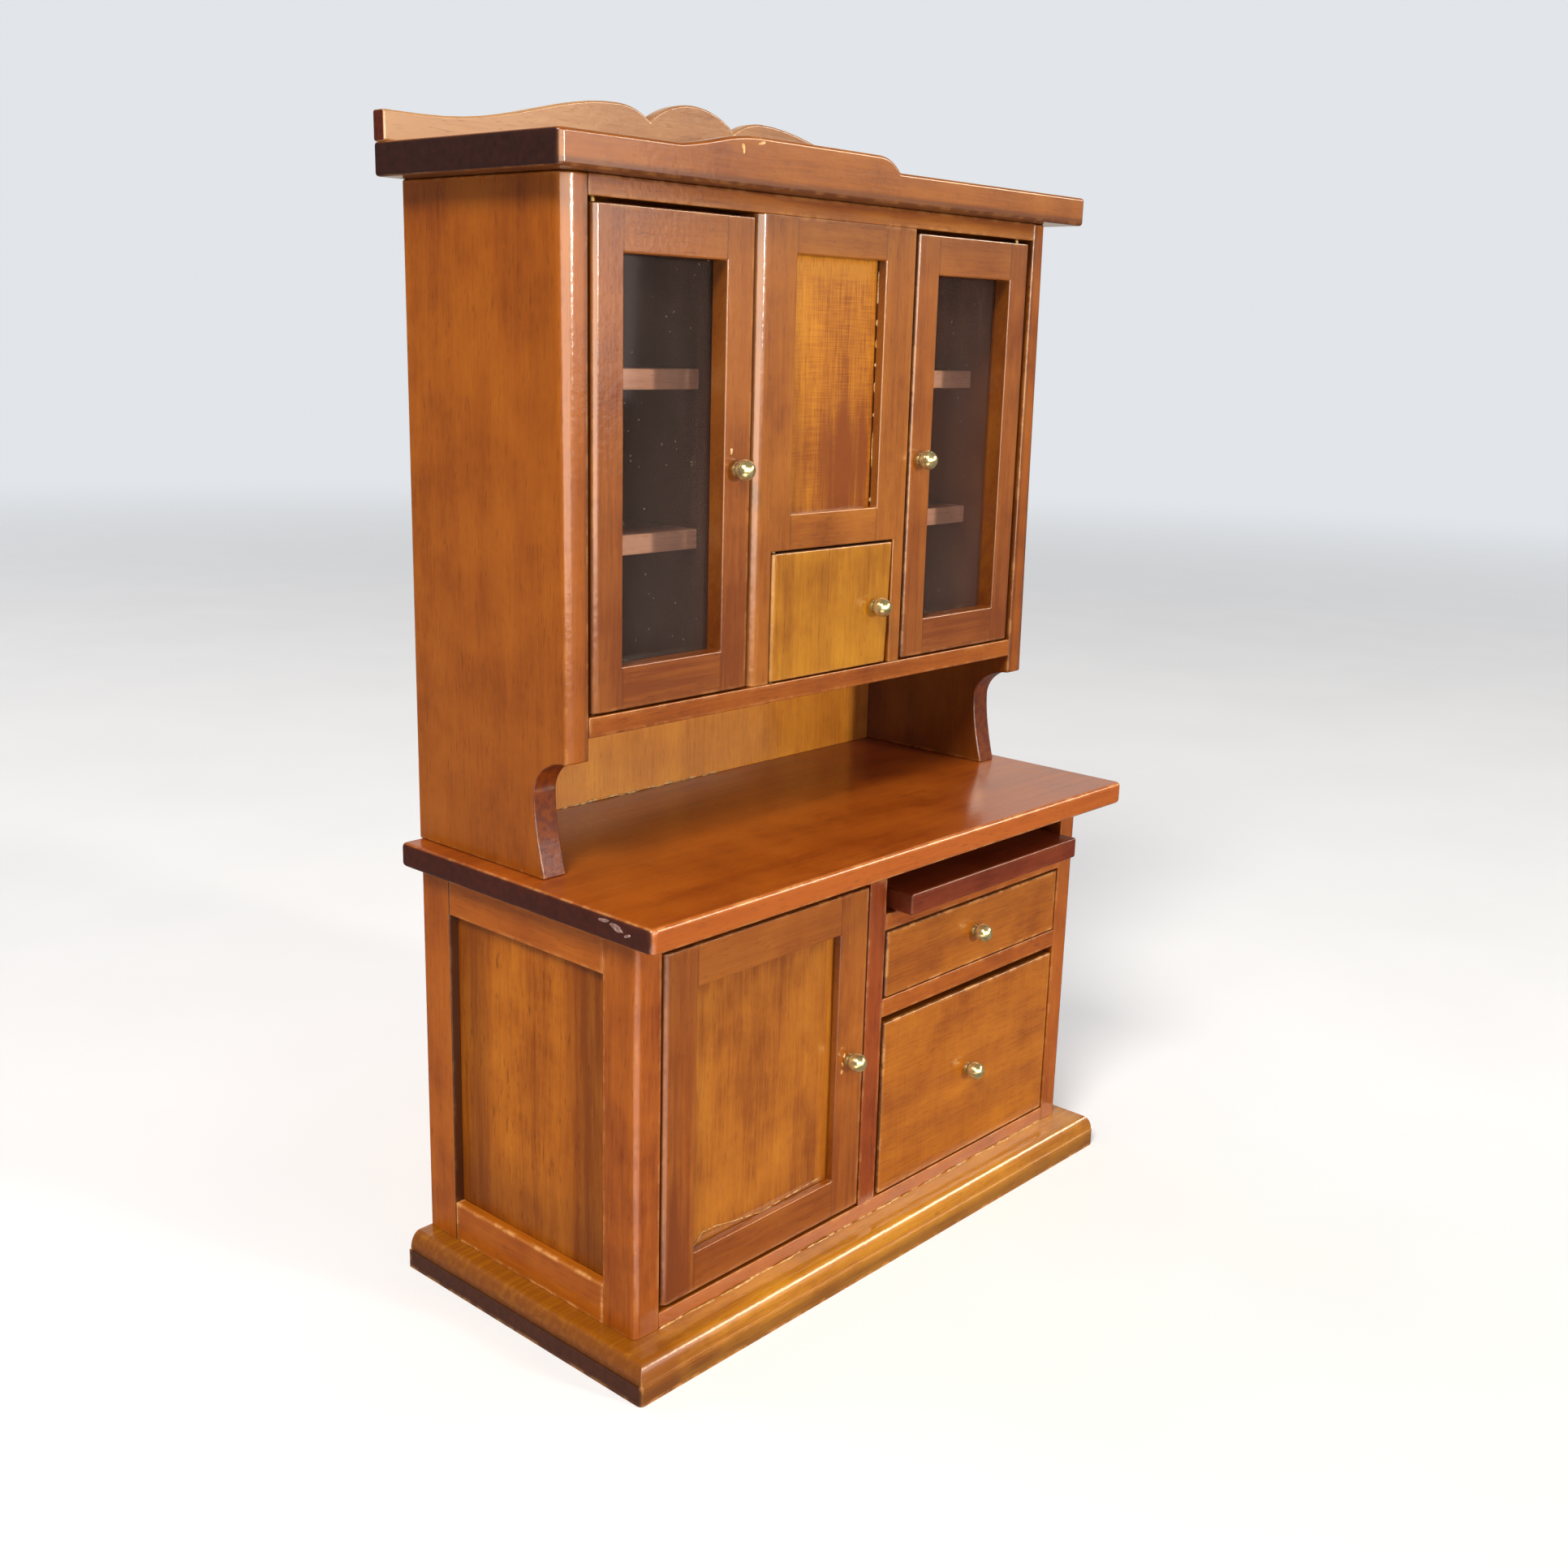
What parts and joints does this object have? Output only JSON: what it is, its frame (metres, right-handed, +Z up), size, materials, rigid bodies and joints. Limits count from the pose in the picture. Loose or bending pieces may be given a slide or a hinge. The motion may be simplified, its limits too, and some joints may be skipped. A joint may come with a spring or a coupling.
{
  "type": "dolls house kitchen hutch",
  "caption": "Miniature stained-wood kitchen hutch: glazed and panelled upper cabinet with scalloped gallery over a worktop, framed door, drawers and pull-out board.",
  "frame": {"origin": "on the ground below the middle of the hutch's bounding box", "axes": "+X to the right seen from the front, +Y to the flush back, so the doors face -Y, +Z up"},
  "size_m": [0.117, 0.0548, 0.1807],
  "materials": {
    "frame_wood": "walnut to honey stain under satin-gloss lacquer, worn at the arrises",
    "door_wood": "walnut to honey stain under satin-gloss lacquer, worn at the arrises",
    "panel_wood": "walnut to honey stain under satin-gloss lacquer, worn at the arrises",
    "worktop_wood": "walnut to honey stain under satin-gloss lacquer, worn at the arrises",
    "base_wood": "walnut to honey stain under satin-gloss lacquer, worn at the arrises",
    "side_wood": "walnut to honey stain under satin-gloss lacquer, worn at the arrises",
    "cornice_wood": "walnut to honey stain under satin-gloss lacquer, worn at the arrises",
    "inner_wood": "thin stain, unpolished",
    "board_wood": "dark mahogany stain under satin lacquer",
    "brass": "polished brass, slightly dulled",
    "glass": "clear, thin"
  },
  "bodies": {
    "carcass": {"base_board": "base_wood", "left_front_stile": "frame_wood", "left_back_stile": "frame_wood", "left_top_rail": "frame_wood", "left_bottom_rail": "frame_wood", "left_panel": "panel_wood", "right_front_stile": "frame_wood", "right_back_stile": "frame_wood", "right_top_rail": "frame_wood", "right_bottom_rail": "frame_wood", "right_panel": "panel_wood", "lower_floor": "frame_wood", "lower_top": "frame_wood", "lower_divider": "frame_wood", "drawer_shelf": "frame_wood", "board_shelf": "frame_wood", "lower_back": "inner_wood", "worktop": "worktop_wood", "upper_left_side": "side_wood", "upper_right_side": "side_wood", "upper_floor": "frame_wood", "upper_ceiling": "frame_wood", "upper_back": "side_wood", "centre_frame": "door_wood", "centre_panel": "panel_wood", "left_partition": "inner_wood", "right_partition": "inner_wood", "centre_shelf": "inner_wood", "left_lower_shelf": "inner_wood", "left_upper_shelf": "inner_wood", "right_lower_shelf": "inner_wood", "right_upper_shelf": "inner_wood", "cornice": "cornice_wood", "gallery": "cornice_wood"},
    "lower_door": {"lower_door_frame": "door_wood", "lower_door_panel": "panel_wood", "lower_door_knob": "brass", "lower_door_lower_pin": "brass", "lower_door_upper_pin": "brass"},
    "left_glazed_door": {"left_glazed_door_frame": "door_wood", "left_glazed_door_pane": "glass", "left_glazed_door_knob": "brass", "left_glazed_door_lower_pin": "brass", "left_glazed_door_upper_pin": "brass"},
    "right_glazed_door": {"right_glazed_door_frame": "door_wood", "right_glazed_door_pane": "glass", "right_glazed_door_knob": "brass", "right_glazed_door_lower_pin": "brass", "right_glazed_door_upper_pin": "brass"},
    "small_door": {"small_door": "panel_wood", "small_door_knob": "brass", "small_door_lower_pin": "brass", "small_door_upper_pin": "brass"},
    "small_drawer": {"small_drawer_front": "panel_wood", "small_drawer_tray": "inner_wood", "small_drawer_knob": "brass"},
    "large_drawer": {"large_drawer_front": "panel_wood", "large_drawer_tray": "inner_wood", "large_drawer_knob": "brass"},
    "pull_out_board": {"pull_out_board": "board_wood"}
  },
  "joints": [
    {"name": "lower_door_hinge", "type": "hinge", "parent": "carcass", "child": "lower_door", "pos_m": [-0.0468, -0.0186, 0.0362], "axis": [0, 0, -1], "range_deg": [0, 95]},
    {"name": "left_glazed_door_hinge", "type": "hinge", "parent": "carcass", "child": "left_glazed_door", "pos_m": [-0.0476, -0.0046, 0.1285], "axis": [0, 0, -1], "range_deg": [0, 95]},
    {"name": "right_glazed_door_hinge", "type": "hinge", "parent": "carcass", "child": "right_glazed_door", "pos_m": [0.0476, -0.0046, 0.1285], "axis": [0, 0, 1], "range_deg": [0, 95]},
    {"name": "small_door_hinge", "type": "hinge", "parent": "carcass", "child": "small_door", "pos_m": [-0.0122, -0.0054, 0.1046], "axis": [0, 0, -1], "range_deg": [0, 95]},
    {"name": "small_drawer_slide", "type": "slide", "parent": "carcass", "child": "small_drawer", "axis": [0, -1, 0], "range_m": [0, 0.032]},
    {"name": "large_drawer_slide", "type": "slide", "parent": "carcass", "child": "large_drawer", "axis": [0, -1, 0], "range_m": [0, 0.032]},
    {"name": "pull_out_board_slide", "type": "slide", "parent": "carcass", "child": "pull_out_board", "axis": [0, -1, 0], "range_m": [-0.0036, 0.03]}
  ]
}
